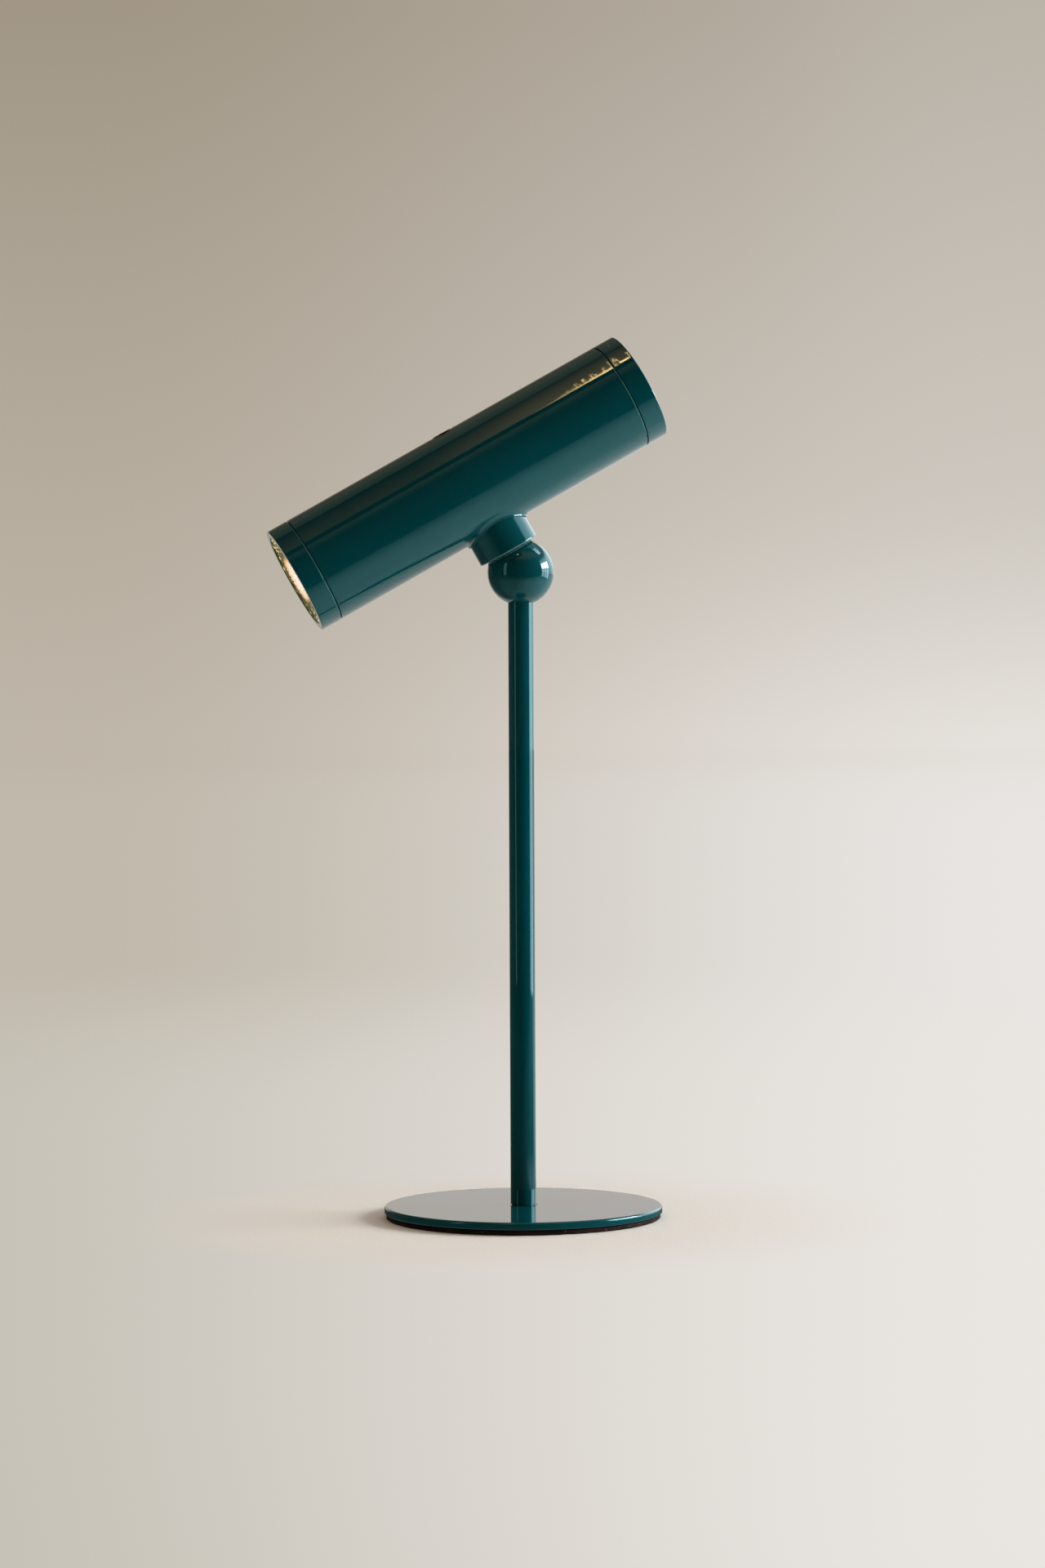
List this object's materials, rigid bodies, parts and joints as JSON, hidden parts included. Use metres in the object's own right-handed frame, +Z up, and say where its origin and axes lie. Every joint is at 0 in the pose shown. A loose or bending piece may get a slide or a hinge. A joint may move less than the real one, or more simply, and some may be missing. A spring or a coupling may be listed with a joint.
{
  "type": "desk lamp",
  "caption": "Cordless desk lamp: a tube-shaped head with a push button, held by a magnetic ball joint on a slim upright stem and a thin round base.",
  "frame": {"origin": "centre of the base pad's underside, on the surface the lamp stands on", "axes": "+Z up along the stem; the head tips in the XZ plane, with its light end towards -X and down"},
  "size_m": [0.1795, 0.1248, 0.395],
  "materials": {
    "teal_paint": "gloss",
    "black_foam": "matte",
    "black_rubber": "matte",
    "steel": "satin",
    "nickel": "satin",
    "aluminium": "satin",
    "bright_aluminium": "polished",
    "brass": "satin",
    "clear_glass": "polished",
    "seat_plastic": "satin",
    "chassis_plastic": "matte",
    "emitter": "satin",
    "white_board": "satin",
    "green_board": "satin",
    "cell_wrap": "satin",
    "black_plastic": "satin",
    "red_wire": "satin",
    "black_wire": "satin"
  },
  "bodies": {
    "stand": {"base_plate": "teal_paint", "base_pad": "black_foam", "base_screw": "steel", "stem_tube": "teal_paint", "stem_foot_insert": "steel", "stem_top_insert": "steel", "ball_stud": "steel"},
    "ball": {"ball": "teal_paint"},
    "seat": {"seat_ring": "seat_plastic", "ring_magnet": "nickel"},
    "head": {"pole_plate": "steel", "neck_collar": "teal_paint", "head_tube": "teal_paint", "saddle_block": "aluminium", "neck_screw_front": "steel", "neck_screw_rear": "steel", "front_ring": "teal_paint", "lens": "clear_glass", "lens_gasket": "black_rubber", "reflector": "bright_aluminium", "led_emitter": "emitter", "led_board": "white_board", "led_screw_left": "steel", "led_screw_right": "steel", "heat_sink": "aluminium", "chassis": "chassis_plastic", "chassis_screw_left": "steel", "chassis_screw_right": "steel", "battery_cell": "cell_wrap", "cell_tab_front": "nickel", "cell_tab_rear": "nickel", "control_board": "green_board", "board_screw_1": "steel", "board_screw_2": "steel", "board_screw_3": "steel", "board_screw_4": "steel", "power_switch": "black_plastic", "control_chip": "black_plastic", "power_inductor": "chassis_plastic", "button_guide": "brass", "rear_cap": "teal_paint", "cap_seal": "black_rubber", "charge_socket": "steel", "socket_board": "green_board", "socket_screw_left": "steel", "socket_screw_right": "steel", "led_wire_red": "red_wire", "led_wire_black": "black_wire", "cell_wire_red": "red_wire", "cell_wire_black": "black_wire", "socket_wire_red": "red_wire", "socket_wire_black": "black_wire"},
    "button": {"button_cap": "brass", "switch_plunger": "black_plastic"}
  },
  "joints": [
    {"name": "head_swivel", "type": "hinge", "parent": "stand", "child": "ball", "pos_m": [0, 0, 0.2898], "axis": [0, 0, 1], "continuous": true},
    {"name": "head_tilt", "type": "hinge", "parent": "ball", "child": "seat", "pos_m": [0, 0, 0.2898], "axis": [0, 1, 0], "range_deg": [-66.5, 125.5]},
    {"name": "head_roll", "type": "hinge", "parent": "seat", "child": "head", "pos_m": [0, 0, 0.2898], "axis": [-0.4924, 0, 0.8704], "continuous": true},
    {"name": "button_press", "type": "slide", "parent": "head", "child": "button", "axis": [0.4924, 0, -0.8704], "range_m": [0, 0.0006], "stiffness_N_per_m": 2500}
  ]
}
